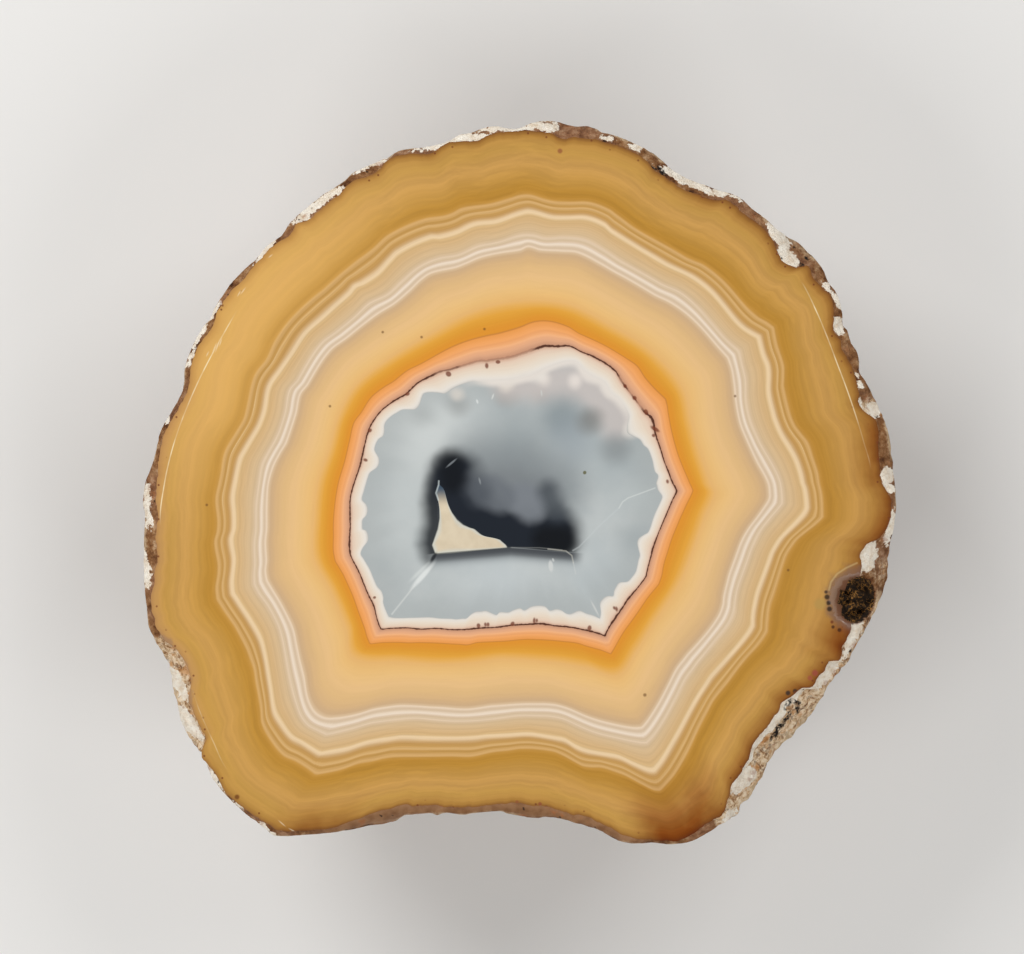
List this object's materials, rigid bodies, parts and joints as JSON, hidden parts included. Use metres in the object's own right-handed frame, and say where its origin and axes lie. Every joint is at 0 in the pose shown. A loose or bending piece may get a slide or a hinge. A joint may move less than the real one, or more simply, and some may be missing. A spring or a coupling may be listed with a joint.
{
  "type": "agate nodule half",
  "caption": "Cut and polished half of a banded agate nodule, lying on its domed natural back with the flat banded face up.",
  "frame": {"origin": "middle of the outer box at the resting surface, under the domed back", "axes": "+Z up, out of the polished face; +X along the longest side of the face, to the right in the picture; +Y up in the picture, away from the arched side"},
  "size_m": [0.0898, 0.0864, 0.038],
  "materials": {
    "agate_stone": "polished"
  },
  "bodies": {
    "root": {"agate_nodule": "agate_stone"}
  },
  "joints": []
}
